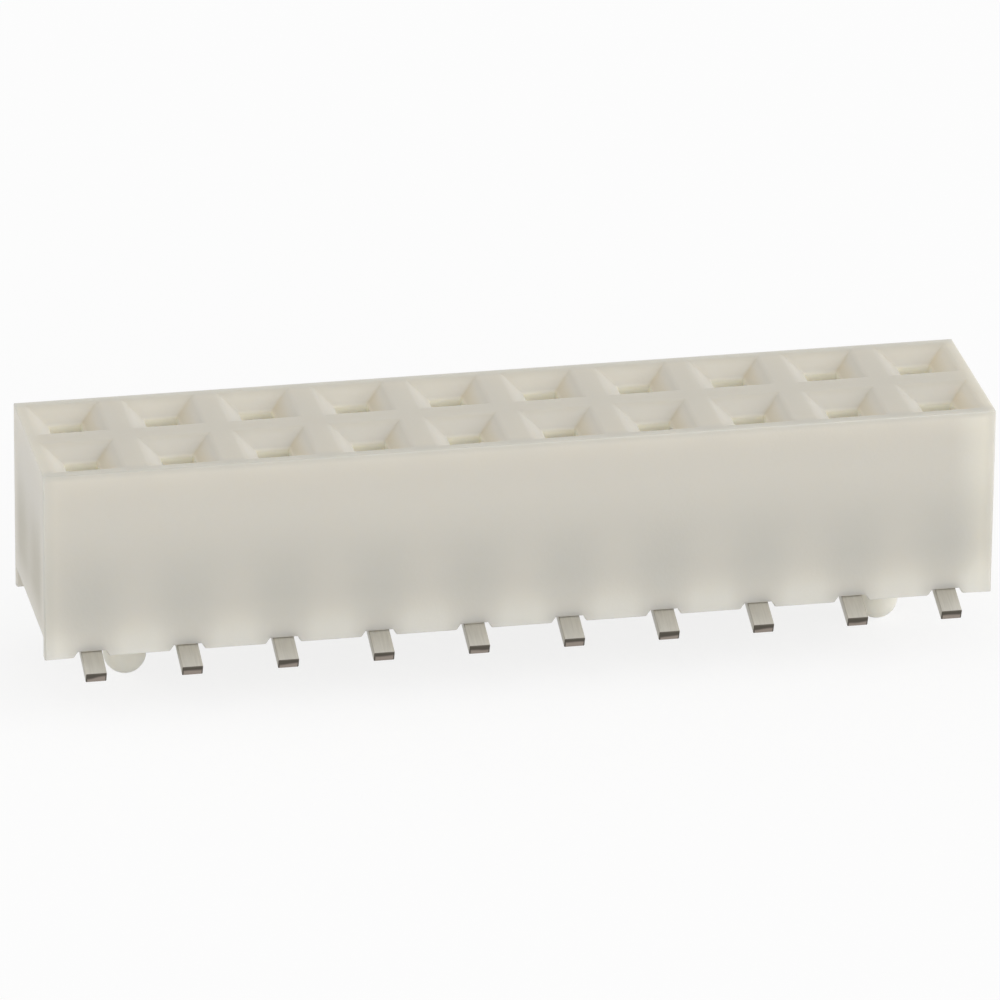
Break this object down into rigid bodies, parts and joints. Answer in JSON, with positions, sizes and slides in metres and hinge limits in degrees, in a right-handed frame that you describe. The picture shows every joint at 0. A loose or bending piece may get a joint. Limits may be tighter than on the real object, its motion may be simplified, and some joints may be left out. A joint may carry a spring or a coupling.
{
  "type": "socket header",
  "caption": "Double-row surface-mount socket header: ivory housing with square lead-ins, sloping solder tails along both sides and two domed locating pegs.",
  "frame": {"origin": "on the board's top surface, midway between the rows and midway along them", "axes": "+X along the rows, +Y from the front row to the rear row, +Z away from the board, the way a mated pin is pulled out"},
  "size_m": [0.0254, 0.0066, 0.0068],
  "materials": {
    "housing_plastic": "satin, natural translucent ivory",
    "contact_metal": "matte tin plating over spring bronze"
  },
  "bodies": {
    "root": {"housing": "housing_plastic", "contact_front_1": "contact_metal", "contact_front_2": "contact_metal", "contact_front_3": "contact_metal", "contact_front_4": "contact_metal", "contact_front_5": "contact_metal", "contact_front_6": "contact_metal", "contact_front_7": "contact_metal", "contact_front_8": "contact_metal", "contact_front_9": "contact_metal", "contact_front_10": "contact_metal", "contact_rear_1": "contact_metal", "contact_rear_2": "contact_metal", "contact_rear_3": "contact_metal", "contact_rear_4": "contact_metal", "contact_rear_5": "contact_metal", "contact_rear_6": "contact_metal", "contact_rear_7": "contact_metal", "contact_rear_8": "contact_metal", "contact_rear_9": "contact_metal", "contact_rear_10": "contact_metal"}
  },
  "joints": []
}
